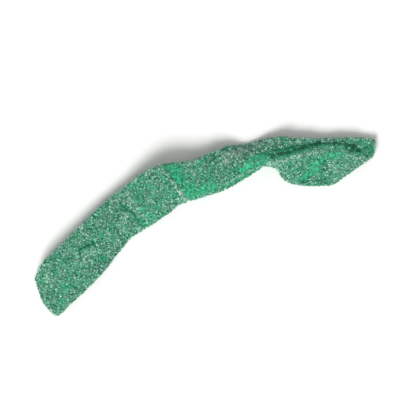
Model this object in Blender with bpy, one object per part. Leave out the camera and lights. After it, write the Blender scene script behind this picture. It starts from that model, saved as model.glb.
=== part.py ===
"""A sour belt: one ribbon of chewy, sugar-coated candy, lying in the shape it was dropped in.

The belt runs along +X: from a square-cut end with one drooping corner, over a low hump,
along a stretch whose near side is folded down, to an end with one corner cut off. Z is up
and the floor is at Z 0. "Far" is the +Y side of the belt and "near" is the -Y side.
"""

import bpy
import numpy as np

MM = 0.001

# Driving dimensions of the belt, laid out straight and flat.
BELT_LENGTH = 173.0 * MM
BELT_WIDTH = 22.0 * MM
BELT_THICKNESS = 2.5 * MM
EDGE_RADIUS = 0.8 * MM

# The cut ends. One corner of the second end is cut away at a slant.
CORNER_RADIUS = 1.6 * MM
CUT_CORNER_LENGTH = 19.0 * MM
CUT_CORNER_START = 0.36
CUT_CORNER_CRISPNESS = 14

# The far corner of the first end hangs down, bent over a line across that corner.
DROOP_ALONG_FAR_EDGE = 17.6 * MM
DROOP_RADIUS = 5.5 * MM
DROOP_ANGLE_DEG = 66.0

# How the belt lies. Each list gives (distance along the belt in mm, value) and is read
# as a smooth curve. The heading is the belt's direction seen from above. The fold is the
# ridge that runs lengthwise and parts the far side of the belt from the near side. Its
# place is a share of the width, and its softness is how wide it bends. A slope is how
# steeply a side falls towards -Y. The tuck is a narrow crease that sinks in beside the
# fold.
HEADING_DEG = (
    (0, 19), (28, 21), (44, 22), (56, 12), (66, 14), (74, -2), (82, -18), (90, -11),
    (98, 1), (106, 6), (113, 3), (121, -14), (130, -33), (140, -31), (150, -22),
    (160, -24), (173, -29),
)
RIDGE_HEIGHT_MM = (
    (0, 7.6), (22, 8.0), (40, 8.0), (54, 7.9), (64, 9.3), (76, 10.7), (82, 10.0),
    (94, 8.2), (104, 7.3), (116, 7.4), (124, 8.6), (130, 9.3), (136, 7.2), (150, 4.8),
    (163, 3.9), (173, 3.3),
)
FOLD_PLACE = (
    (0, 0.50), (40, 0.50), (60, 0.55), (78, 0.60), (92, 0.59), (104, 0.57),
    (118, 0.56), (126, 0.54), (134, 0.39), (143, 0.29), (150, 0.25), (156, 0.235),
    (161, 0.29), (167, 0.40), (173, 0.48),
)
FOLD_SOFTNESS_MM = (
    (0, 7), (92, 7), (104, 5), (112, 5.5), (120, 7), (127, 6), (135, 4.6), (150, 4.4), (173, 5),
)
FAR_SLOPE_DEG = (
    (0, -2), (24, -4), (38, -10), (50, -16), (62, -10), (72, 0), (84, 8),
    (100, 0), (108, -22), (118, -58), (132, -27), (150, -7), (162, -7), (173, -12),
)
NEAR_SLOPE_DEG = (
    (0, 3), (22, 5), (31, 22), (39, 40), (47, 46), (55, 46), (61, 37), (69, 33),
    (80, 62), (90, 76), (104, 71), (116, 78), (122, 92), (127, 84), (131, 66),
    (135, 34), (139, 20), (146, 18), (154, 20), (162, 14), (173, 5),
)
TUCK_DEG = (
    (0, 0), (116, 0), (126, 20), (134, 34), (146, 40), (156, 30), (166, 26), (173, 10),
)
TUCK_OFFSET = 1.9 * MM
TUCK_HALF_WIDTH = 1.4 * MM

# A crest runs slantwise across the belt on top of the hump, as places along the belt at
# its far and near edges. The belt climbs to it slowly and drops from it at once.
CREST_AT_FAR_EDGE = 75.3 * MM
CREST_AT_NEAR_EDGE = 84.5 * MM
CREST_HEIGHT = 1.1 * MM
CREST_CLIMB = 8.0 * MM
CREST_DROP = 2.4 * MM
CREST_ROUNDING = 0.7 * MM

# Small waves that the edges of a soft ribbon take, as (length, height, phase). They
# start past the first end and are out of step on the two sides.
EDGE_WAVES = (
    (17.0 * MM, 0.28 * MM, 0.6),
    (9.5 * MM, 0.12 * MM, 2.1),
)
EDGE_WAVE_START = 24.0 * MM
EDGE_WAVE_SIDE_STEP = 1.7
EDGE_WAVE_FALL_OFF = 3

# Where the belt presses on the floor its underside goes flat.
FLOOR_PRESS = 0.35 * MM

# Mesh density. The middle sheet is worked out on a fine table and read from it.
STATIONS = 104
FACETS_ACROSS = 16
EDGE_FACETS = 3
END_FACETS = 3
TABLE_STATIONS = 1731
TABLE_LINES = 221

BELT_COLOUR = (0.05, 0.42, 0.20, 1.0)
BELT_ROUGHNESS = 0.7


def smooth_curve(points, at):
    """Reads (place, value) points as a smooth curve that never overshoots them."""
    x, y = np.array(points, float).T
    gaps = np.diff(x)
    rates = np.diff(y) / gaps
    slopes = np.zeros_like(y)
    for i in range(1, len(x) - 1):
        before, after = rates[i - 1], rates[i]
        if before * after > 0:
            w_before = 2 * gaps[i] + gaps[i - 1]
            w_after = gaps[i] + 2 * gaps[i - 1]
            slopes[i] = (w_before + w_after) / (w_before / before + w_after / after)
    at = np.clip(at, x[0], x[-1])
    i = np.clip(np.searchsorted(x, at, side="right") - 1, 0, len(gaps) - 1)
    t = (at - x[i]) / gaps[i]
    start = (1 + 2 * t) * (1 - t) ** 2 * y[i] + t * (1 - t) ** 2 * gaps[i] * slopes[i]
    end = t * t * (3 - 2 * t) * y[i + 1] + t * t * (t - 1) * gaps[i] * slopes[i + 1]
    return start + end


def ease(t):
    """Goes smoothly from 0 to 1 as t does."""
    t = np.clip(t, 0, 1)
    return t * t * (3 - 2 * t)


def running_sum(values, step, axis):
    """The integral of values along an axis, starting at 0."""
    a = np.take(values, range(values.shape[axis] - 1), axis)
    b = np.take(values, range(1, values.shape[axis]), axis)
    total = np.cumsum((a + b) / 2 * step, axis)
    return np.concatenate([np.zeros_like(np.take(total, [0], axis)), total], axis)


def cross_slopes(along, across):
    """Slope of the belt across its width: far side, fold and near side, in radians."""
    along_mm = along / MM
    far = np.radians(smooth_curve(FAR_SLOPE_DEG, along_mm))[:, None]
    near = np.radians(smooth_curve(NEAR_SLOPE_DEG, along_mm))[:, None]
    tuck = np.radians(smooth_curve(TUCK_DEG, along_mm))[:, None]
    softness = smooth_curve(FOLD_SOFTNESS_MM, along_mm)[:, None] * MM
    from_fold = across[None, :] - smooth_curve(FOLD_PLACE, along_mm)[:, None] * BELT_WIDTH
    over_fold = ease(from_fold / softness + 0.5)
    in_tuck = np.exp(-((from_fold + TUCK_OFFSET) / TUCK_HALF_WIDTH) ** 2)
    return far + (near - far) * over_fold - tuck * in_tuck


def edge_wave_heights(along, across):
    """Low waves along both edges, none at the middle."""
    side = across / BELT_WIDTH * 2 - 1
    nearness = np.abs(side)[None, :] ** EDGE_WAVE_FALL_OFF
    started = ease(along / EDGE_WAVE_START - 1)[:, None]
    heights = np.zeros((len(along), len(across)))
    for length, height, phase in EDGE_WAVES:
        turn = 2 * np.pi * along[:, None] / length + phase + EDGE_WAVE_SIDE_STEP * np.sign(side)
        heights += height * nearness * started * np.sin(turn)
    return heights


def crest_heights(along, across):
    """The slanting crest across the belt, steep on its second side."""
    line = CREST_AT_FAR_EDGE + (CREST_AT_NEAR_EDGE - CREST_AT_FAR_EDGE) * across / BELT_WIDTH
    past = along[:, None] - line[None, :]
    away = np.sqrt(past**2 + CREST_ROUNDING**2) - CREST_ROUNDING
    reach = np.where(past < 0, CREST_CLIMB, CREST_DROP)
    return CREST_HEIGHT * np.exp(-away / reach)


def middle_sheet():
    """A fine table of points on the sheet midway between the belt's two faces."""
    along = np.linspace(0, BELT_LENGTH, TABLE_STATIONS)
    across = np.linspace(0, BELT_WIDTH, TABLE_LINES)
    middle = TABLE_LINES // 2
    slopes = cross_slopes(along, across)
    sideways = running_sum(np.cos(slopes), across[1], 1)
    sideways = sideways[:, middle][:, None] - sideways
    fall = running_sum(np.sin(slopes), across[1], 1)
    fall -= fall.min(1, keepdims=True)
    ridge = smooth_curve(RIDGE_HEIGHT_MM, along / MM) * MM
    z = ridge[:, None] - fall + edge_wave_heights(along, across) + crest_heights(along, across)
    climb = np.gradient(ridge, along[1])
    forward = np.sqrt(1 - climb**2)
    heading = np.radians(smooth_curve(HEADING_DEG, along / MM))
    path_x = running_sum(forward * np.cos(heading), along[1], 0)
    path_y = running_sum(forward * np.sin(heading), along[1], 0)
    x = path_x[:, None] - sideways * np.sin(heading)[:, None]
    y = path_y[:, None] + sideways * np.cos(heading)[:, None]
    return np.stack([x, y, z], -1)


def droop_corner(sheet):
    """Bends the far corner of the first end down over a straight line."""
    near_corner = sheet[0, -1, :2]
    on_far_edge = sheet[round(DROOP_ALONG_FAR_EDGE / BELT_LENGTH * (TABLE_STATIONS - 1)), 0, :2]
    line = (on_far_edge - near_corner) / np.linalg.norm(on_far_edge - near_corner)
    outward = np.array((-line[1], line[0]))
    beyond = np.maximum((sheet[..., :2] - near_corner) @ outward, 0)
    turned = np.minimum(beyond / DROOP_RADIUS, np.radians(DROOP_ANGLE_DEG))
    straight = beyond - turned * DROOP_RADIUS
    reach = DROOP_RADIUS * np.sin(turned) + straight * np.cos(turned)
    fall = DROOP_RADIUS * (1 - np.cos(turned)) + straight * np.sin(turned)
    drooped = sheet.copy()
    drooped[..., :2] += (reach - beyond)[..., None] * outward
    drooped[..., 2] -= fall
    return drooped


def sheet_normals(sheet):
    """Unit normals of the sheet, on its upper side."""
    along = np.gradient(sheet, axis=0)
    across = np.gradient(sheet, axis=1)
    normals = np.cross(across, along)
    return normals / np.linalg.norm(normals, axis=-1, keepdims=True)


def read_table(table, along, across):
    """Table values at the given distances along and across the belt."""
    i = np.clip(along / BELT_LENGTH * (TABLE_STATIONS - 1), 0, TABLE_STATIONS - 1)
    j = np.clip(across / BELT_WIDTH * (TABLE_LINES - 1), 0, TABLE_LINES - 1)
    i0 = np.minimum(i.astype(int), TABLE_STATIONS - 2)
    j0 = np.minimum(j.astype(int), TABLE_LINES - 2)
    u, v = (i - i0)[..., None], (j - j0)[..., None]
    start = table[i0, j0] * (1 - v) + table[i0, j0 + 1] * v
    end = table[i0 + 1, j0] * (1 - v) + table[i0 + 1, j0 + 1] * v
    return start * (1 - u) + end * u


def end_places(across):
    """Where the belt starts and ends along its length, at a place across its width."""
    from_edge = np.minimum(across, BELT_WIDTH - across)
    into_corner = np.clip(1 - from_edge / CORNER_RADIUS, 0, 1)
    rounding = CORNER_RADIUS * (1 - np.sqrt(1 - into_corner**2))
    cut = (across / BELT_WIDTH - CUT_CORNER_START) / (1 - CUT_CORNER_START)
    soft_cut = np.log1p(np.exp(cut * CUT_CORNER_CRISPNESS)) / CUT_CORNER_CRISPNESS
    return rounding, BELT_LENGTH - rounding - CUT_CORNER_LENGTH * soft_cut


def section_outline():
    """The rounded cross-section, as places across and heights.

    It starts at the middle of the far edge, goes over the top and round the near edge,
    and comes back underneath, so point k lies above point -k.
    """
    half = BELT_THICKNESS / 2
    flat = np.linspace(EDGE_RADIUS, BELT_WIDTH - EDGE_RADIUS, FACETS_ACROSS + 1)
    turn = np.linspace(0, np.pi / 2, EDGE_FACETS + 1)[:-1]
    edge = EDGE_RADIUS * (1 - np.cos(turn))
    across = np.concatenate([edge, flat, BELT_WIDTH - edge[::-1]])
    height = np.concatenate([half * np.sin(turn), np.full(len(flat), half), half * np.sin(turn[::-1])])
    return np.append(across, across[-2:0:-1]), np.append(height, -height[-2:0:-1])


def ring_stations():
    """For each ring: its share of the way along, its shift past that and its inset."""
    turns = np.linspace(np.pi / 2, 0, END_FACETS + 1)[:-1]
    rounded_end = [(EDGE_RADIUS * (1 - np.sin(t)), EDGE_RADIUS * (1 - np.cos(t))) for t in turns]
    stations = [(0, shift, inset) for shift, inset in rounded_end]
    stations += [(share, EDGE_RADIUS * (1 - 2 * share), 0) for share in np.linspace(0, 1, STATIONS)]
    stations += [(1, -shift, inset) for shift, inset in rounded_end[::-1]]
    return stations


def belt_rings(sheet):
    """Rings of points round the belt, from one end to the other."""
    half = BELT_THICKNESS / 2
    normals = sheet_normals(sheet)
    across, height = section_outline()
    rings = []
    for share, shift, inset in ring_stations():
        v = inset + across * (1 - 2 * inset / BELT_WIDTH)
        start, end = end_places(v)
        s = start + (end - start) * share + shift
        rise = height * (1 - inset / half)
        rings.append(read_table(sheet, s, v) + read_table(normals, s, v) * rise[:, None])
    return np.array(rings)


def settle(rings):
    """Centres the belt on the origin and presses its lowest spots flat on the floor."""
    points = rings.reshape(-1, 3)
    low, high = points.min(0), points.max(0)
    rings = rings - [(low[0] + high[0]) / 2, (low[1] + high[1]) / 2, low[2] + FLOOR_PRESS]
    rings[..., 2] = np.maximum(rings[..., 2], 0)
    return rings


def ring_faces(count, size):
    """Quads between neighbouring rings, and a ladder of quads over each end."""
    faces = []
    for ring in range(count - 1):
        for k in range(size):
            a = ring * size + k
            b = ring * size + (k + 1) % size
            faces.append((a, b, b + size, a + size))
    last_ring = (count - 1) * size
    for k in range(size // 2):
        rung = [k, k + 1, size - k - 1, (size - k) % size]
        rung = list(dict.fromkeys(rung))
        faces.append([last_ring + corner for corner in rung])
        faces.append(rung[::-1])
    return faces


def candy_material():
    """Matt green chewy candy under a coat of sugar."""
    material = bpy.data.materials.new("sugared_green_candy")
    material.use_nodes = True
    shader = material.node_tree.nodes["Principled BSDF"]
    shader.inputs["Base Color"].default_value = BELT_COLOUR
    shader.inputs["Roughness"].default_value = BELT_ROUGHNESS
    shader.inputs["Metallic"].default_value = 0.0
    return material


def make_belt():
    """The belt as one closed solid."""
    rings = settle(belt_rings(droop_corner(middle_sheet())))
    count, size = rings.shape[:2]
    mesh = bpy.data.meshes.new("sour_belt")
    mesh.from_pydata(rings.reshape(-1, 3).tolist(), [], ring_faces(count, size))
    mesh.shade_smooth()
    mesh.materials.append(candy_material())
    belt = bpy.data.objects.new("sour_belt", mesh)
    bpy.context.scene.collection.objects.link(belt)


def main():
    for old in list(bpy.data.objects):
        bpy.data.objects.remove(old)
    make_belt()


main()
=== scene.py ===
"""Looks of the sour belt: chewy green candy with its coat of sugar crystals."""

import math

import bpy
import numpy as np
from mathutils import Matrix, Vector


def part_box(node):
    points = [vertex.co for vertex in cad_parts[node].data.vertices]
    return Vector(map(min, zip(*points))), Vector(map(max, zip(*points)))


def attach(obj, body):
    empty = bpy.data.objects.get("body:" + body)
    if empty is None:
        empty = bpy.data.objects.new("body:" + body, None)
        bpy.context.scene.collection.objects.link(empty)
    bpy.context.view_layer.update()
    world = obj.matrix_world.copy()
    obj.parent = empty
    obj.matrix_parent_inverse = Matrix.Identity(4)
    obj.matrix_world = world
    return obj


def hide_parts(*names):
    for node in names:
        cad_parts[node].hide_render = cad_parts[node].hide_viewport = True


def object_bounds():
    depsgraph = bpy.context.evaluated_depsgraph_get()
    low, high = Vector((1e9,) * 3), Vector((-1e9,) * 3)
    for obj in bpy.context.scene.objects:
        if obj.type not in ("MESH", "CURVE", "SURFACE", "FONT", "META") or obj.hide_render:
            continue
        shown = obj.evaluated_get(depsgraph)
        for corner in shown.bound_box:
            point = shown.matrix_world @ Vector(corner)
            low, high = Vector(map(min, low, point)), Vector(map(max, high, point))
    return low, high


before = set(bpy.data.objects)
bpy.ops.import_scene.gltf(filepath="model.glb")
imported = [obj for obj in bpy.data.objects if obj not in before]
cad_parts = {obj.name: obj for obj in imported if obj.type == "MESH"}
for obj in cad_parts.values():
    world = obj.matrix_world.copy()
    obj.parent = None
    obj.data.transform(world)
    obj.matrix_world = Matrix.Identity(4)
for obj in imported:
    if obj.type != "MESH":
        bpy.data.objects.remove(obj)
cad_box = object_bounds()

MM = 0.001
NODE = "sour_belt"

# No length is divided by less than this.
TINY = 1e-12

# The belt's own dimensions, laid out straight and flat.
BELT_LENGTH = 173.0 * MM
BELT_WIDTH = 22.0 * MM
BELT_THICKNESS = 2.5 * MM
EDGE_RADIUS = 0.8 * MM

# The cut ends. One corner of the second end is cut away at a slant.
CORNER_RADIUS = 1.6 * MM
CUT_CORNER_LENGTH = 19.0 * MM
CUT_CORNER_START = 0.36
CUT_CORNER_CRISPNESS = 14

# The far corner of the first end hangs down, bent over a line across that corner.
DROOP_ALONG_FAR_EDGE = 17.6 * MM
DROOP_RADIUS = 5.5 * MM
DROOP_ANGLE_DEG = 66.0

# How the belt lies. Each list gives (distance along the belt in mm, value) and is read
# as a smooth curve. The heading is the belt's direction seen from above. The fold is the
# ridge that runs lengthwise and parts the far side of the belt from the near side. Its
# place is a share of the width, and its softness is how wide it bends. A slope is how
# steeply a side falls towards -Y. The tuck is a narrow crease that sinks in beside the
# fold.
HEADING_DEG = (
    (0, 19), (28, 21), (44, 22), (56, 12), (66, 14), (74, -2), (82, -18), (90, -11),
    (98, 1), (106, 6), (113, 3), (121, -14), (130, -33), (140, -31), (150, -22),
    (160, -24), (173, -29),
)
RIDGE_HEIGHT_MM = (
    (0, 7.6), (22, 8.0), (40, 8.0), (54, 7.9), (64, 9.3), (76, 10.7), (82, 10.0),
    (94, 8.2), (104, 7.3), (116, 7.4), (124, 8.6), (130, 9.3), (136, 7.2), (150, 4.8),
    (163, 3.9), (173, 3.3),
)
FOLD_PLACE = (
    (0, 0.50), (40, 0.50), (60, 0.55), (78, 0.60), (92, 0.59), (104, 0.57),
    (118, 0.56), (126, 0.54), (134, 0.39), (143, 0.29), (150, 0.25), (156, 0.235),
    (161, 0.29), (167, 0.40), (173, 0.48),
)
FOLD_SOFTNESS_MM = (
    (0, 7), (92, 7), (104, 5), (112, 5.5), (120, 7), (127, 6), (135, 4.6), (150, 4.4), (173, 5),
)
FAR_SLOPE_DEG = (
    (0, -2), (24, -4), (38, -10), (50, -16), (62, -10), (72, 0), (84, 8),
    (100, 0), (108, -22), (118, -58), (132, -27), (150, -7), (162, -7), (173, -12),
)
NEAR_SLOPE_DEG = (
    (0, 3), (22, 5), (31, 22), (39, 40), (47, 46), (55, 46), (61, 37), (69, 33),
    (80, 62), (90, 76), (104, 71), (116, 78), (122, 92), (127, 84), (131, 66),
    (135, 34), (139, 20), (146, 18), (154, 20), (162, 14), (173, 5),
)
TUCK_DEG = (
    (0, 0), (116, 0), (126, 20), (134, 34), (146, 40), (156, 30), (166, 26), (173, 10),
)
TUCK_OFFSET = 1.9 * MM
TUCK_HALF_WIDTH = 1.4 * MM

# A crest runs slantwise across the belt on top of the hump, as places along the belt at
# its far and near edges. The belt climbs to it slowly and drops from it at once.
CREST_AT_FAR_EDGE = 75.3 * MM
CREST_AT_NEAR_EDGE = 84.5 * MM
CREST_HEIGHT = 1.1 * MM
CREST_CLIMB = 8.0 * MM
CREST_DROP = 2.4 * MM
CREST_ROUNDING = 0.7 * MM

# Small waves that the edges of a soft ribbon take, as (length, height, phase). They
# start past the first end and are out of step on the two sides.
EDGE_WAVES = (
    (17.0 * MM, 0.28 * MM, 0.6),
    (9.5 * MM, 0.12 * MM, 2.1),
)
EDGE_WAVE_START = 24.0 * MM
EDGE_WAVE_SIDE_STEP = 1.7
EDGE_WAVE_FALL_OFF = 3

# Where the belt presses on the floor its underside goes flat.
FLOOR_PRESS = 0.35 * MM

# Mesh density. The middle sheet is worked out on a fine table and read from it.
STATIONS = 560
FACETS_ACROSS = 64
EDGE_FACETS = 5
END_FACETS = 4
TABLE_STATIONS = 1731
TABLE_LINES = 221

# Unevenness of the candy's skin, as (size of a lump, height, seed). The grid of noise that
# makes it starts two lumps before the belt and is eight lumps longer and wider than it.
SKIN_LUMPS = (
    (5.5 * MM, 0.20 * MM, 11),
    (2.2 * MM, 0.20 * MM, 12),
    (1.0 * MM, 0.26 * MM, 13),
)
LUMPS_BEFORE = 2
SPARE_LUMPS = 8
UNDERSIDE_SEED_STEP = 100

# Raggedness of the edges, as (size of a lump, depth, seed). It is strongest at the very
# edge, and each edge reads the noise along its own line, four lumps off the middle.
EDGE_RAGGEDNESS = (2.6 * MM, 0.22 * MM, 14)
RAGGED_FALL_OFF = 4
RAGGED_LUMPS_OFF_MIDDLE = 4

# Round dents in the top, as (along, across, reach along, reach across, depth) in mm.
# Their depth also darkens the candy there as painted shade.
DENTS = (
    (31.9, 17.0, 0.8, 0.8, 0.35),
    (141.5, 20.2, 1.0, 0.9, 0.6),
    (12.0, 13.6, 1.3, 1.2, 0.2),
    (162.8, 5.6, 2.2, 1.2, 0.9),
)

# Lines on the top: crests that stand out and hold more sugar, and creases that sink in
# and hold less. Each has its points along and across the belt, its half width, its
# height and its sugar. Lengths are in mm.
# Where a line sinks in, the candy there is darkened as painted shade.
SKIN_LINES = (
    # The crest of the hump, and the barer band behind it.
    (((75.3, 0), (77.4, 6), (79.8, 11), (82.8, 16.5), (84.8, 22)), 0.7, 0.5, 0.65),
    (((79.2, 0), (81.4, 6), (84.2, 11), (87.4, 16.5), (89.4, 22)), 3.2, -0.05, -0.4),
    # The crease of the buckle before the hump, dark with painted shade, and the rise beside it.
    (((54.8, 5.6), (55.6, 9.1), (57.1, 12.1), (57.3, 15.2), (58.9, 17.3)), 0.8, -0.45, -0.8),
    (((57.4, 3), (59.2, 9.9), (59.9, 13.6), (61.8, 18.6)), 1.3, 0.3, 0.12),
    # A short crease on the first stretch, dark with painted shade.
    (((27.2, 7.3), (30.5, 8.4), (34.4, 9.8)), 0.55, -0.6, -1.1),
    # The crest of the lengthwise fold.
    (((98, 14.6), (105, 14.2), (112, 14.8), (118, 15.2), (122, 14.2), (127.9, 12.2),
      (134.2, 9.6), (141, 7.6), (149, 5.9), (154, 5.3), (158.7, 5.8), (160.7, 6.6),
      (165, 8.2), (168.5, 11)),
     0.6, 0.2, 0.3),
    # A faint crease along the fold where the dark one starts, and a short streak beside it.
    # Both sink in, so the candy there is darkened as painted shade.
    (((116.8, 13.5), (121.7, 12.8), (126.6, 11.3)), 0.5, -0.25, -0.6),
    (((105.5, 18.4), (109.5, 18.2), (113.5, 16.6)), 0.6, -0.35, -0.7),
    # The dark crease beside the fold, its darkness painted shade, and the barer band along it.
    (((126.6, 11.3), (130, 9.8), (133.9, 8.0), (138.6, 6.6), (142.9, 5.1), (148.6, 3.9),
      (154.4, 3.6), (159.3, 4.0)),
     0.45, -0.9, -1.2),
    # The band's bright worn candy is partly wear and partly painted light, on a slope turned from
    # the key lamp.
    (((109.9, 13.3), (115.2, 12.3), (120.5, 11.2), (125, 9.6), (130, 7.9), (135.8, 5.3),
      (142.6, 3.2), (148.6, 2.2)),
     1.1, 0.35, -0.55),
    # The dent near the second end, darkened as painted shade.
    (((160.4, 4.6), (163.0, 5.5), (165.6, 6.7)), 1.0, -0.6, -1.3),
    # The worn line that winds over the flap.
    (((140.8, 19.5), (144.4, 15.5), (146.6, 12), (148.8, 9), (152, 7.3), (155.9, 6.8),
      (158.8, 7.4)),
     1.6, -0.05, -0.48),
    # The barer band along the folded-down near side.
    (((86, 14.5), (96, 14.5), (103.8, 17.5), (109.6, 18.8), (118, 18)), 2.4, 0.0, -0.42),
)

# The depth at which a crease or dent gets its full painted shade and keeps crystals out in full.
FULL_CREASE_MM = 0.5

# Where sugar is rubbed off (below 0) or lies thick (above 0) on the top, as
# (along, across, reach along, reach across, amount). Lengths are in mm.
SUGAR_SPOTS = (
    (31.9, 17.0, 1.4, 1.2, -0.7),
    (5.3, 18.5, 2.2, 1.6, -0.45),
    (22.0, 11.0, 22.0, 14.0, 0.08),
    (12.0, 13.6, 3.0, 2.0, -0.35),
    (66.0, 11.0, 8.0, 10.0, -0.12),
    (108.5, 5.0, 7.0, 4.0, 0.40),
    (124.0, 3.5, 5.0, 2.5, 0.25),
    (142.0, 14.0, 8.0, 6.0, -0.06),
    (155.0, 13.0, 7.0, 5.0, -0.07),
)
SUGAR_MEAN = 0.58

# Patches with more or less sugar, as (size of a patch, amount, seed), and the sugar that
# clings to the rim.
SUGAR_PATCHES = ((6.0 * MM, 0.12, 21), (2.0 * MM, 0.18, 22), (1.0 * MM, 0.26, 23))
RIM_WIDTH = 0.9 * MM
RIM_SUGAR = 0.35

# The forms of a crystal: corners and faces of a block and of an eight-sided speck.
BLOCK = (
    [(x, y, z) for x in (-1, 1) for y in (-1, 1) for z in (-1, 1)],
    [(0, 1, 3, 2), (4, 6, 7, 5), (0, 4, 5, 1), (2, 3, 7, 6), (0, 2, 6, 4), (1, 5, 7, 3)],
)
SPECK = (
    [(1, 0, 0), (-1, 0, 0), (0, 1, 0), (0, -1, 0), (0, 0, 1), (0, 0, -1)],
    [(0, 2, 4), (2, 1, 4), (1, 3, 4), (3, 0, 4), (2, 0, 5), (1, 2, 5), (3, 1, 5), (0, 3, 5)],
)

# Sugar crystals, as (name, form, number, smallest size, largest size, share on bare candy,
# seed). Each is squeezed by its own amounts along its three axes and skewed, and its middle
# stands a share of its size above the skin. They are smaller on the rim and rarer in creases.
CRYSTAL_KINDS = (
    ("sugar_coarse", BLOCK, 12000, 0.48 * MM, 0.84 * MM, 0.08, 31),
    ("sugar_medium", BLOCK, 16000, 0.34 * MM, 0.54 * MM, 0.22, 32),
    ("sugar_fine", SPECK, 24000, 0.24 * MM, 0.38 * MM, 0.6, 33),
)
CRYSTAL_SQUEEZE = (0.65, 1.0)
CRYSTAL_SKEW = 0.25
CRYSTAL_RISE = 0.15
RIM_CRYSTAL_SIZE = 0.62
CREASE_SHELTER = 0.8

# Colours of the candy, as linear red, green and blue. In the gaps between crystals and
# where it is worn it comes in two shades.
# The gap colours are the candy's own, made darker in part as painted shade between crystals.
GAP_CANDY_AND_SHADE = ((0.003, 0.095, 0.042), (0.007, 0.170, 0.082))
WORN_CANDY = ((0.006, 0.170, 0.065), (0.042, 0.590, 0.290))
DUSTED_CANDY = (0.080, 0.325, 0.210)
THICKLY_DUSTED_CANDY = (0.160, 0.450, 0.320)
# Painted shade, mixed into the candy's colour in creases and dents.
PAINTED_CREASE_SHADE = (0.003, 0.060, 0.030)

# Colours of the darkest and lightest crystals. Those in pairs are for crystals on worn
# candy and on whole sugar.
DARK_SUGAR = ((0.010, 0.260, 0.115), (0.002, 0.085, 0.040))
LIGHT_SUGAR = ((0.100, 0.720, 0.440), (0.330, 0.685, 0.515))
THICK_LIGHT_SUGAR = (0.480, 0.720, 0.600)
SHADE_POWER = 1.5
SHADE_BY_COVER = 0.45

# Sugar cover at which the coat starts and at which it starts to look pale, each with how
# fast that grows past it.
COAT_START, COAT_RATE = 0.1, 1.9
THICK_START, THICK_RATE = 0.75, 3.0

# Noise in the candy's colour, as (lumps in a metre, how far it swings the colour). The
# scales are in lumps in a metre too.
GRAIN = (1500.0, 3.2)
MOTTLE = (420.0, 1.2)
WORN_PATCHES = (1100.0, 6.0)
WORN_MEAN = 0.45
GAP_SHADE_SCALE = 160.0
# The painted shade in creases is broken up by a noise of its own and scaled by a strength.
CREASE_SHADE_GRAIN_SCALE = 900.0
CREASE_SHADE_STRENGTH = 1.7
NOISE_DETAIL = 3.0

# Relief of the candy too fine for its mesh.
RELIEF_SCALE = 2600.0
RELIEF_DETAIL = 4.0
RELIEF_STRENGTH = 0.6
RELIEF_DEPTH = 0.15 * MM

# What is the same all over each surface.
CANDY_SURFACE = {
    "Roughness": 0.55,
    "IOR": 1.48,
    "Specular IOR Level": 0.3,
    "Subsurface Weight": 0.2,
    "Subsurface Radius": (0.5, 1.0, 0.7),
    "Subsurface Scale": 0.8 * MM,
}
SUGAR_SURFACE = {
    "Roughness": 0.35,
    "IOR": 1.54,
    "Specular IOR Level": 0.4,
    "Subsurface Weight": 0.2,
    "Subsurface Radius": (0.6, 1.0, 0.8),
    "Subsurface Scale": 0.4 * MM,
}
FLOOR_SURFACE = {
    "Base Color": (0.86, 0.86, 0.85, 1.0),
    "Roughness": 0.9,
}
SHADER = "Principled BSDF"

# Places of a mix node's factor, of its two colours and of what comes out.
MIX_FACTOR = 0
MIX_COLOURS = (6, 7)
MIX_RESULT = 2

FLOOR_SIZE = 6.0
FLOOR_GAP = 0.2 * MM

# Square lamps, as (name, turn from the photo's lower edge and height in degrees, distance
# and width in metres, power in watts).
LAMPS = (
    ("key", -22.0, 54.0, 3.6, 1.5, 116.0),
    ("top", 0.0, 80.0, 1.4, 1.2, 3.0),
)
SKY_STRENGTH = 0.43

# The camera looks straight down, turned so that the belt slants as in the photo.
CAMERA_TURN_DEG = -23.7
CAMERA_DISTANCE = 0.9
CAMERA_LENS_MM = 180.0
CAMERA_SENSOR_MM = 36.0


def smooth_curve(points, at):
    """Reads (place, value) points as a smooth curve that never overshoots them."""
    x, y = np.array(points, float).T
    gaps = np.diff(x)
    rates = np.diff(y) / gaps
    slopes = np.zeros_like(y)
    for i in range(1, len(x) - 1):
        before, after = rates[i - 1], rates[i]
        if before * after > 0:
            w_before = 2 * gaps[i] + gaps[i - 1]
            w_after = gaps[i] + 2 * gaps[i - 1]
            slopes[i] = (w_before + w_after) / (w_before / before + w_after / after)
    at = np.clip(at, x[0], x[-1])
    i = np.clip(np.searchsorted(x, at, side="right") - 1, 0, len(gaps) - 1)
    t = (at - x[i]) / gaps[i]
    start = (1 + 2 * t) * (1 - t) ** 2 * y[i] + t * (1 - t) ** 2 * gaps[i] * slopes[i]
    end = t * t * (3 - 2 * t) * y[i + 1] + t * t * (t - 1) * gaps[i] * slopes[i + 1]
    return start + end


def ease(t):
    """Goes smoothly from 0 to 1 as t does."""
    t = np.clip(t, 0, 1)
    return t * t * (3 - 2 * t)


def running_sum(values, step, axis):
    """The integral of values along an axis, starting at 0."""
    a = np.take(values, range(values.shape[axis] - 1), axis)
    b = np.take(values, range(1, values.shape[axis]), axis)
    total = np.cumsum((a + b) / 2 * step, axis)
    return np.concatenate([np.zeros_like(np.take(total, [0], axis)), total], axis)


def cross_slopes(along, across):
    """Slope of the belt across its width: far side, fold and near side, in radians."""
    along_mm = along / MM
    far = np.radians(smooth_curve(FAR_SLOPE_DEG, along_mm))[:, None]
    near = np.radians(smooth_curve(NEAR_SLOPE_DEG, along_mm))[:, None]
    tuck = np.radians(smooth_curve(TUCK_DEG, along_mm))[:, None]
    softness = smooth_curve(FOLD_SOFTNESS_MM, along_mm)[:, None] * MM
    from_fold = across[None, :] - smooth_curve(FOLD_PLACE, along_mm)[:, None] * BELT_WIDTH
    over_fold = ease(from_fold / softness + 0.5)
    in_tuck = np.exp(-((from_fold + TUCK_OFFSET) / TUCK_HALF_WIDTH) ** 2)
    return far + (near - far) * over_fold - tuck * in_tuck


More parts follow.
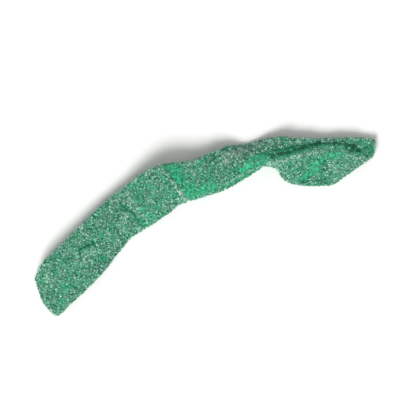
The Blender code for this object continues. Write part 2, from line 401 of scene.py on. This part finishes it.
def edge_wave_heights(along, across):
    """Low waves along both edges, none at the middle."""
    side = across / BELT_WIDTH * 2 - 1
    nearness = np.abs(side)[None, :] ** EDGE_WAVE_FALL_OFF
    started = ease(along / EDGE_WAVE_START - 1)[:, None]
    heights = np.zeros((len(along), len(across)))
    for length, height, phase in EDGE_WAVES:
        turn = 2 * np.pi * along[:, None] / length + phase + EDGE_WAVE_SIDE_STEP * np.sign(side)
        heights += height * nearness * started * np.sin(turn)
    return heights


def crest_heights(along, across):
    """The slanting crest across the belt, steep on its second side."""
    line = CREST_AT_FAR_EDGE + (CREST_AT_NEAR_EDGE - CREST_AT_FAR_EDGE) * across / BELT_WIDTH
    past = along[:, None] - line[None, :]
    away = np.sqrt(past**2 + CREST_ROUNDING**2) - CREST_ROUNDING
    reach = np.where(past < 0, CREST_CLIMB, CREST_DROP)
    return CREST_HEIGHT * np.exp(-away / reach)


def middle_sheet():
    """A fine table of points on the sheet midway between the belt's two faces."""
    along = np.linspace(0, BELT_LENGTH, TABLE_STATIONS)
    across = np.linspace(0, BELT_WIDTH, TABLE_LINES)
    middle = TABLE_LINES // 2
    slopes = cross_slopes(along, across)
    sideways = running_sum(np.cos(slopes), across[1], 1)
    sideways = sideways[:, middle][:, None] - sideways
    fall = running_sum(np.sin(slopes), across[1], 1)
    fall -= fall.min(1, keepdims=True)
    ridge = smooth_curve(RIDGE_HEIGHT_MM, along / MM) * MM
    z = ridge[:, None] - fall + edge_wave_heights(along, across) + crest_heights(along, across)
    climb = np.gradient(ridge, along[1])
    forward = np.sqrt(1 - climb**2)
    heading = np.radians(smooth_curve(HEADING_DEG, along / MM))
    path_x = running_sum(forward * np.cos(heading), along[1], 0)
    path_y = running_sum(forward * np.sin(heading), along[1], 0)
    x = path_x[:, None] - sideways * np.sin(heading)[:, None]
    y = path_y[:, None] + sideways * np.cos(heading)[:, None]
    return np.stack([x, y, z], -1)


def droop_corner(sheet):
    """Bends the far corner of the first end down over a straight line."""
    near_corner = sheet[0, -1, :2]
    on_far_edge = sheet[round(DROOP_ALONG_FAR_EDGE / BELT_LENGTH * (TABLE_STATIONS - 1)), 0, :2]
    line = (on_far_edge - near_corner) / np.linalg.norm(on_far_edge - near_corner)
    outward = np.array((-line[1], line[0]))
    beyond = np.maximum((sheet[..., :2] - near_corner) @ outward, 0)
    turned = np.minimum(beyond / DROOP_RADIUS, np.radians(DROOP_ANGLE_DEG))
    straight = beyond - turned * DROOP_RADIUS
    reach = DROOP_RADIUS * np.sin(turned) + straight * np.cos(turned)
    fall = DROOP_RADIUS * (1 - np.cos(turned)) + straight * np.sin(turned)
    drooped = sheet.copy()
    drooped[..., :2] += (reach - beyond)[..., None] * outward
    drooped[..., 2] -= fall
    return drooped


def unit(vectors):
    """The vectors at length 1."""
    return vectors / np.maximum(np.linalg.norm(vectors, axis=-1, keepdims=True), TINY)


def sheet_normals(sheet):
    """Unit normals of the sheet, on its upper side."""
    along = np.gradient(sheet, axis=0)
    across = np.gradient(sheet, axis=1)
    return unit(np.cross(across, along))


def read_table(table, along, across):
    """Table values at the given distances along and across the belt."""
    i = np.clip(along / BELT_LENGTH * (TABLE_STATIONS - 1), 0, TABLE_STATIONS - 1)
    j = np.clip(across / BELT_WIDTH * (TABLE_LINES - 1), 0, TABLE_LINES - 1)
    i0 = np.minimum(i.astype(int), TABLE_STATIONS - 2)
    j0 = np.minimum(j.astype(int), TABLE_LINES - 2)
    u, v = (i - i0)[..., None], (j - j0)[..., None]
    start = table[i0, j0] * (1 - v) + table[i0, j0 + 1] * v
    end = table[i0 + 1, j0] * (1 - v) + table[i0 + 1, j0 + 1] * v
    return start * (1 - u) + end * u


def end_places(across):
    """Where the belt starts and ends along its length, at a place across its width."""
    from_edge = np.minimum(across, BELT_WIDTH - across)
    into_corner = np.clip(1 - from_edge / CORNER_RADIUS, 0, 1)
    rounding = CORNER_RADIUS * (1 - np.sqrt(1 - into_corner**2))
    cut = (across / BELT_WIDTH - CUT_CORNER_START) / (1 - CUT_CORNER_START)
    soft_cut = np.log1p(np.exp(cut * CUT_CORNER_CRISPNESS)) / CUT_CORNER_CRISPNESS
    return rounding, BELT_LENGTH - rounding - CUT_CORNER_LENGTH * soft_cut


def section_outline():
    """The rounded cross-section, as places across and heights.

    It starts at the middle of the far edge, goes over the top and round the near edge,
    and comes back underneath, so point k lies above point -k.
    """
    half = BELT_THICKNESS / 2
    flat = np.linspace(EDGE_RADIUS, BELT_WIDTH - EDGE_RADIUS, FACETS_ACROSS + 1)
    turn = np.linspace(0, np.pi / 2, EDGE_FACETS + 1)[:-1]
    edge = EDGE_RADIUS * (1 - np.cos(turn))
    across = np.concatenate([edge, flat, BELT_WIDTH - edge[::-1]])
    edge_height = half * np.sin(turn)
    height = np.concatenate([edge_height, np.full(len(flat), half), edge_height[::-1]])
    return np.append(across, across[-2:0:-1]), np.append(height, -height[-2:0:-1])


def ring_stations():
    """For each ring: its share of the way along, its shift past that and its inset."""
    turns = np.linspace(np.pi / 2, 0, END_FACETS + 1)[:-1]
    rounded_end = [(EDGE_RADIUS * (1 - np.sin(t)), EDGE_RADIUS * (1 - np.cos(t))) for t in turns]
    stations = [(0, shift, inset) for shift, inset in rounded_end]
    stations += [(share, EDGE_RADIUS * (1 - 2 * share), 0) for share in np.linspace(0, 1, STATIONS)]
    stations += [(1, -shift, inset) for shift, inset in rounded_end[::-1]]
    return stations


def lumps(along, across, size, seed):
    """Smooth noise between -1 and 1, with bumps of the given size."""
    rng = np.random.default_rng(seed)
    rows = int(BELT_LENGTH / size) + SPARE_LUMPS
    columns = int(BELT_WIDTH / size) + SPARE_LUMPS
    grid = rng.uniform(-1, 1, (rows, columns))
    i = np.clip(along / size + LUMPS_BEFORE, 0, rows - 2)
    j = np.clip(across / size + LUMPS_BEFORE, 0, columns - 2)
    i0, j0 = i.astype(int), j.astype(int)
    u, v = ease(i - i0), ease(j - j0)
    start = grid[i0, j0] * (1 - v) + grid[i0, j0 + 1] * v
    end = grid[i0 + 1, j0] * (1 - v) + grid[i0 + 1, j0 + 1] * v
    return start * (1 - u) + end * u


def lumps_on_skin(places, size, seed):
    """Lumps over the whole skin, other ones on the underside than on the top."""
    s, v, side = places[..., 0], places[..., 1], places[..., 2]
    top = lumps(s, v, size, seed)
    under = lumps(s, v, size, seed + UNDERSIDE_SEED_STEP)
    return np.where(side > 0, top, under)


def belt_rings(sheet):
    """Rings of points round the belt, with each point's place along and across and its side."""
    half = BELT_THICKNESS / 2
    normals = sheet_normals(sheet)
    across, height = section_outline()
    places, rings = [], []
    ragged_size, ragged_depth, ragged_seed = EDGE_RAGGEDNESS
    for share, shift, inset in ring_stations():
        v = inset + across * (1 - 2 * inset / BELT_WIDTH)
        start, end = end_places(v)
        s = start + (end - start) * share + shift
        rise = height * (1 - inset / half)
        side = np.sign(v - BELT_WIDTH / 2)
        off_middle = np.abs(v / BELT_WIDTH * 2 - 1) ** RAGGED_FALL_OFF
        noise_line = side * RAGGED_LUMPS_OFF_MIDDLE * ragged_size + BELT_WIDTH / 2
        ragged = lumps(s, noise_line, ragged_size, ragged_seed) - 1
        v_ragged = v + side * ragged * ragged_depth / 2 * off_middle
        normal = read_table(normals, s, v_ragged)
        rings.append(read_table(sheet, s, v_ragged) + normal * rise[:, None])
        places.append(np.stack([s, v, np.sign(rise)], -1))
    return np.array(rings), np.array(places)


def grid_normals(rings):
    """Outward unit normals of the rings' points."""
    along = np.gradient(rings, axis=0)
    round_it = np.roll(rings, -1, 1) - np.roll(rings, 1, 1)
    return -unit(np.cross(round_it, along))


def bump(places, along, across, reach_along, reach_across):
    """A soft round spot, 1 at its middle, on the belt's top. Lengths are in mm."""
    u = (places[..., 0] / MM - along) / reach_along
    v = (places[..., 1] / MM - across) / reach_across
    return np.exp(-(u * u + v * v)) * (places[..., 2] > 0)


def near_line(places, points, half_width):
    """A soft band along a line of points, 1 on the line, on the belt's top. In mm."""
    s, v = places[..., 0] / MM, places[..., 1] / MM
    nearest = np.full(s.shape, np.inf)
    for (s0, v0), (s1, v1) in zip(points, points[1:]):
        length = (s1 - s0) ** 2 + (v1 - v0) ** 2
        share = np.clip(((s - s0) * (s1 - s0) + (v - v0) * (v1 - v0)) / length, 0, 1)
        gap = (s - s0 - share * (s1 - s0)) ** 2 + (v - v0 - share * (v1 - v0)) ** 2
        nearest = np.minimum(nearest, gap)
    return np.exp(-nearest / half_width**2) * (places[..., 2] > 0)


def skin_heights(places):
    """How far the candy's skin stands out from its plain form."""
    heights = np.zeros(places.shape[:2])
    for size, height, seed in SKIN_LUMPS:
        heights += height / 2 * (lumps_on_skin(places, size, seed) - 1)
    for along, across, reach_along, reach_across, depth in DENTS:
        heights -= depth * MM * bump(places, along, across, reach_along, reach_across)
    for points, half_width, height, _ in SKIN_LINES:
        heights += height * MM * near_line(places, points, half_width)
    return heights


def crease_depth(places):
    """How deep in a crease or dent each point lies, from 0 to 1, which sets painted shade there."""
    depth = np.zeros(places.shape[:2])
    for along, across, reach_along, reach_across, dent in DENTS:
        depth += dent * bump(places, along, across, reach_along, reach_across)
    for points, half_width, height, _ in SKIN_LINES:
        depth += max(-height, 0) * near_line(places, points, half_width)
    return np.clip(depth / FULL_CREASE_MM, 0, 1)


def rim_nearness(places):
    """1 on the belt's edges and ends, falling to 0 a little way in."""
    s, v = places[..., 0], places[..., 1]
    end = end_places(v)[1]
    from_rim = np.minimum(np.minimum(v, BELT_WIDTH - v), np.minimum(s, end - s))
    return ease(1 - from_rim / RIM_WIDTH)


def sugar_cover(places):
    """How thickly sugar covers each point, from 0 for bare candy to 1."""
    cover = np.full(places.shape[:2], SUGAR_MEAN)
    for size, amount, seed in SUGAR_PATCHES:
        cover += amount * lumps_on_skin(places, size, seed)
    for along, across, reach_along, reach_across, amount in SUGAR_SPOTS:
        cover += amount * bump(places, along, across, reach_along, reach_across)
    for points, half_width, _, amount in SKIN_LINES:
        cover += amount * near_line(places, points, half_width)
    cover += RIM_SUGAR * rim_nearness(places)
    return np.clip(cover, 0, 1)


def settle(rings, low, high):
    """Puts the belt in the solid's box and presses its lowest spots flat on the floor."""
    points = rings.reshape(-1, 3)
    own_low, own_high = points.min(0), points.max(0)
    shift = [(low[k] + high[k] - own_low[k] - own_high[k]) / 2 for k in (0, 1)]
    return rings + [*shift, -own_low[2] - FLOOR_PRESS]


def ring_faces(count, size):
    """Quads between neighbouring rings, and a ladder of quads over each end."""
    ring, k = np.meshgrid(np.arange(count - 1), np.arange(size), indexing="ij")
    a = (ring * size + k).ravel()
    b = (ring * size + (k + 1) % size).ravel()
    quads = np.stack([a, b, b + size, a + size], 1).tolist()
    last_ring = (count - 1) * size
    for k in range(size // 2):
        rung = [k, k + 1, size - k - 1, (size - k) % size]
        rung = list(dict.fromkeys(rung))
        quads.append([last_ring + corner for corner in rung])
        quads.append(rung[::-1])
    return quads


def new_piece(name, vertices, faces, material):
    """A mesh object of the belt's own body."""
    mesh = bpy.data.meshes.new(name)
    mesh.from_pydata(vertices, [], faces)
    mesh.materials.append(material)
    piece = bpy.data.objects.new(name, mesh)
    bpy.context.scene.collection.objects.link(piece)
    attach(piece, "root")
    return piece


def keep_values(piece, name, values):
    """Keeps one number for each of a mesh's points, for its material to read."""
    attribute = piece.data.attributes.new(name, "FLOAT", "POINT")
    attribute.data.foreach_set("value", values.ravel().astype(np.float32))


def scatter(rings, skin, number, bare_share, seed):
    """Random points on the belt's skin, denser where there is more sugar.

    Gives their places, the skin's normals and sugar there, how close to the rim they lie
    and the random generator that drew them.
    """
    rng = np.random.default_rng(seed)
    next_ring = np.roll(rings, -1, 1)
    corners = [rings[:-1], next_ring[:-1], next_ring[1:], rings[1:]]
    normal = np.cross(corners[2] - corners[0], corners[3] - corners[1])
    area = np.linalg.norm(normal, axis=-1) / 2
    weight = area * (bare_share + skin["sugar_cover"][:-1] ** 2)
    weight = (weight * (1 - CREASE_SHELTER * skin["crease_depth"][:-1])).ravel()
    chosen = rng.choice(len(weight), number, p=weight / weight.sum())
    u, v = rng.random((2, number, 1))
    a, b, c, d = (corner.reshape(-1, 3)[chosen] for corner in corners)
    points = (a * (1 - u) + b * u) * (1 - v) + (d * (1 - u) + c * u) * v
    sugar, nearness = (skin[name][:-1].ravel()[chosen] for name in ("sugar_cover", "rim_nearness"))
    return points, unit(normal).reshape(-1, 3)[chosen], sugar, nearness, rng


def random_turns(rng, number):
    """Random rotation matrices."""
    q = rng.normal(size=(number, 4))
    w, x, y, z = (q / np.linalg.norm(q, axis=1, keepdims=True)).T
    return np.array([
        [1 - 2 * (y * y + z * z), 2 * (x * y - z * w), 2 * (x * z + y * w)],
        [2 * (x * y + z * w), 1 - 2 * (x * x + z * z), 2 * (y * z - x * w)],
        [2 * (x * z - y * w), 2 * (y * z + x * w), 1 - 2 * (x * x + y * y)],
    ]).transpose(2, 0, 1)


def crystals(kind, rings, skin, material):
    """One piece of many sugar crystals of one form, each in its own size and turn."""
    name, (form, faces), number, smallest, largest, bare_share, seed = kind
    points, normals, sugar, nearness, rng = scatter(rings, skin, number, bare_share, seed)
    size = rng.uniform(smallest, largest, (number, 1, 1))
    size *= 1 - (1 - RIM_CRYSTAL_SIZE) * nearness[:, None, None]
    squeeze = rng.uniform(*CRYSTAL_SQUEEZE, (number, 1, 3))
    shaped = np.array(form)[None] * squeeze * size / 2
    shaped[..., 0] += shaped[..., 2] * rng.uniform(-CRYSTAL_SKEW, CRYSTAL_SKEW, (number, 1))
    turned = np.einsum("nij,nkj->nki", random_turns(rng, number), shaped)
    placed = turned + (points + normals * size[:, 0] * CRYSTAL_RISE)[:, None]
    placed[..., 2] = np.maximum(placed[..., 2], 0)
    corners = len(form)
    all_faces = np.array(faces)[None] + (np.arange(number) * corners)[:, None, None]
    piece = new_piece(name, placed.reshape(-1, 3), all_faces.reshape(-1, len(faces[0])), material)
    keep_values(piece, "sugar_cover", np.repeat(sugar, corners))


def new_material(name, surface):
    """A new material with the given values on its shader's own sockets."""
    material = bpy.data.materials.new(name)
    material.use_nodes = True
    for socket, value in surface.items():
        material.node_tree.nodes[SHADER].inputs[socket].default_value = value
    return material


def mix_colours(tree, factor, first, second):
    """A node that mixes two colours, each a colour or another node's output."""
    mix = tree.nodes.new("ShaderNodeMix")
    mix.data_type = "RGBA"
    tree.links.new(factor, mix.inputs[MIX_FACTOR])
    for place, colour in zip(MIX_COLOURS, (first, second)):
        if isinstance(colour, tuple):
            mix.inputs[place].default_value = (*colour, 1.0)
        else:
            tree.links.new(colour, mix.inputs[place])
    return mix.outputs[MIX_RESULT]


def noise(tree, coordinates, scale, detail=NOISE_DETAIL):
    """A noise texture's value in object space."""
    node = tree.nodes.new("ShaderNodeTexNoise")
    node.inputs["Scale"].default_value = scale
    node.inputs["Detail"].default_value = detail
    tree.links.new(coordinates, node.inputs["Vector"])
    return node.outputs["Fac"]


def math_node(tree, operation, first, second):
    """A maths node on two values, each a number or another node's output."""
    node = tree.nodes.new("ShaderNodeMath")
    node.operation = operation
    for socket, value in zip(node.inputs, (first, second)):
        if isinstance(value, (int, float)):
            socket.default_value = value
        else:
            tree.links.new(value, socket)
    return node.outputs[0]


def growth(tree, value, start, rate):
    """How far a value is past a start, times a rate."""
    return math_node(tree, "MULTIPLY", math_node(tree, "SUBTRACT", value, start), rate)


def swing(tree, value, amount):
    """A value's swing about one half, made larger or smaller."""
    return growth(tree, value, 0.5, amount)


def point_value(tree, name):
    """A value kept on the mesh's points."""
    node = tree.nodes.new("ShaderNodeAttribute")
    node.attribute_name = name
    return node.outputs["Fac"]


def coated(tree, cover):
    """0 where the candy is worn bare, and 1 from where its coat of sugar is whole."""
    return growth(tree, cover, COAT_START, COAT_RATE)


def thick(tree, cover):
    """Rises to 1 where sugar lies so thick that it looks pale."""
    return growth(tree, cover, THICK_START, THICK_RATE)


def noise_swing(tree, coordinates, scale, amount):
    """A noise texture's swing about its middle."""
    return swing(tree, noise(tree, coordinates, scale), amount)


def candy_colour_and_shade(tree, coordinates):
    """The candy's colour from its sugar cover, with painted shade in creases and between crystals.
    """
    cover = point_value(tree, "sugar_cover")
    # Candy in the gaps between crystals, dark partly as painted shade.
    between = mix_colours(tree, noise(tree, coordinates, GAP_SHADE_SCALE), *GAP_CANDY_AND_SHADE)
    patchy = math_node(tree, "ADD", noise_swing(tree, coordinates, *WORN_PATCHES), WORN_MEAN)
    worn = mix_colours(tree, patchy, *WORN_CANDY)
    candy = mix_colours(tree, coated(tree, cover), worn, between)
    grain = noise_swing(tree, coordinates, *GRAIN)
    mottle = noise_swing(tree, coordinates, *MOTTLE)
    dust = math_node(tree, "ADD", cover, math_node(tree, "ADD", grain, mottle))
    dusted = mix_colours(tree, dust, candy, DUSTED_CANDY)
    dusted = mix_colours(tree, thick(tree, cover), dusted, THICKLY_DUSTED_CANDY)
    # Painted shade in creases and dents: the crease value mixes in the dark shade colour.
    crease_shade_grain = noise(tree, coordinates, CREASE_SHADE_GRAIN_SCALE)
    shade_strength = math_node(tree, "MULTIPLY", crease_shade_grain, CREASE_SHADE_STRENGTH)
    crease = math_node(tree, "MULTIPLY", point_value(tree, "crease_depth"), shade_strength)
    return mix_colours(tree, crease, dusted, PAINTED_CREASE_SHADE)


def candy_material():
    """Translucent green candy under a dusting of sugar too fine to be modelled."""
    material = new_material("green_candy", CANDY_SURFACE)
    tree = material.node_tree
    shader = tree.nodes[SHADER]
    coordinates = tree.nodes.new("ShaderNodeTexCoord").outputs["Object"]
    tree.links.new(candy_colour_and_shade(tree, coordinates), shader.inputs["Base Color"])
    relief = tree.nodes.new("ShaderNodeBump")
    relief.inputs["Strength"].default_value = RELIEF_STRENGTH
    relief.inputs["Distance"].default_value = RELIEF_DEPTH
    height = noise(tree, coordinates, RELIEF_SCALE, RELIEF_DETAIL)
    tree.links.new(height, relief.inputs["Height"])
    tree.links.new(relief.outputs["Normal"], shader.inputs["Normal"])
    return material


def sugar_material():
    """Sugar crystals, clear to white, tinted by the candy they stick to."""
    material = new_material("sugar_crystals", SUGAR_SURFACE)
    tree = material.node_tree
    crystal = tree.nodes.new("ShaderNodeNewGeometry").outputs["Random Per Island"]
    cover = point_value(tree, "sugar_cover")
    shade = math_node(tree, "POWER", crystal, SHADE_POWER)
    shade = math_node(tree, "ADD", shade, swing(tree, cover, SHADE_BY_COVER))
    light = mix_colours(tree, coated(tree, cover), *LIGHT_SUGAR)
    light = mix_colours(tree, thick(tree, cover), light, THICK_LIGHT_SUGAR)
    dark = mix_colours(tree, coated(tree, cover), *DARK_SUGAR)
    tinted = mix_colours(tree, shade, dark, light)
    tree.links.new(tinted, tree.nodes[SHADER].inputs["Base Color"])
    return material


def make_belt():
    """The candy itself. Gives its rings and what the skin is like at their points."""
    low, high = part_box(NODE)
    rings, places = belt_rings(droop_corner(middle_sheet()))
    rings = settle(rings, low, high)
    rings = rings + grid_normals(rings) * skin_heights(places)[..., None]
    rings[..., 2] = np.maximum(rings[..., 2], 0)
    skin = {
        "sugar_cover": sugar_cover(places),
        "crease_depth": crease_depth(places),
        "rim_nearness": rim_nearness(places),
    }
    count, size = rings.shape[:2]
    belt = new_piece("candy_belt", rings.reshape(-1, 3), ring_faces(count, size), candy_material())
    belt.data.shade_smooth()
    keep_values(belt, "sugar_cover", skin["sugar_cover"])
    keep_values(belt, "crease_depth", skin["crease_depth"])
    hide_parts(NODE)
    return rings, skin


def make_sugar(rings, skin):
    """All the crystals, in one piece for each kind."""
    material = sugar_material()
    for kind in CRYSTAL_KINDS:
        crystals(kind, rings, skin, material)


def make_floor():
    """A plain pale floor."""
    bpy.ops.mesh.primitive_plane_add(size=FLOOR_SIZE, location=(0, 0, -FLOOR_GAP))
    floor = bpy.context.object
    floor.name = "floor"
    floor.data.materials.append(new_material("pale_floor", FLOOR_SURFACE))


def direction(azimuth, elevation):
    """The way from the belt to something at an azimuth and elevation in degrees."""
    a, e = math.radians(azimuth), math.radians(elevation)
    return Vector((math.sin(a) * math.cos(e), -math.cos(a) * math.cos(e), math.sin(e)))


def area_lamp(name, azimuth, elevation, distance, width, power):
    """A square soft lamp that points at the belt from a direction in degrees."""
    light = bpy.data.lights.new(name, "AREA")
    light.size = width
    light.energy = power
    lamp = bpy.data.objects.new(name, light)
    bpy.context.scene.collection.objects.link(lamp)
    back = direction(azimuth, elevation)
    lamp.location = back * distance
    lamp.rotation_mode = "QUATERNION"
    lamp.rotation_quaternion = back.to_track_quat("Z", "Y")


def make_lights():
    """Soft studio light from above, stronger from the photo's lower left."""
    scene = bpy.context.scene
    scene.view_settings.view_transform = "Standard"
    world = bpy.data.worlds.new("studio")
    scene.world = world
    world.use_nodes = True
    sky = world.node_tree.nodes["Background"]
    sky.inputs["Color"].default_value = (1.0, 1.0, 1.0, 1.0)
    sky.inputs["Strength"].default_value = SKY_STRENGTH
    for name, turn, elevation, distance, width, power in LAMPS:
        area_lamp(name, CAMERA_TURN_DEG + turn, elevation, distance, width, power)


def make_camera():
    """The camera at the photo's viewing angle, framed on the belt."""
    low, high = cad_box
    camera = bpy.data.cameras.new("camera")
    camera.lens = CAMERA_LENS_MM
    camera.sensor_width = CAMERA_SENSOR_MM
    view = bpy.data.objects.new("camera", camera)
    bpy.context.scene.collection.objects.link(view)
    view.location = (Vector(low) + Vector(high)) / 2 + Vector((0, 0, CAMERA_DISTANCE))
    view.rotation_euler = (0, 0, math.radians(CAMERA_TURN_DEG))
    bpy.context.scene.camera = view


make_camera()
make_lights()
make_floor()
make_sugar(*make_belt())
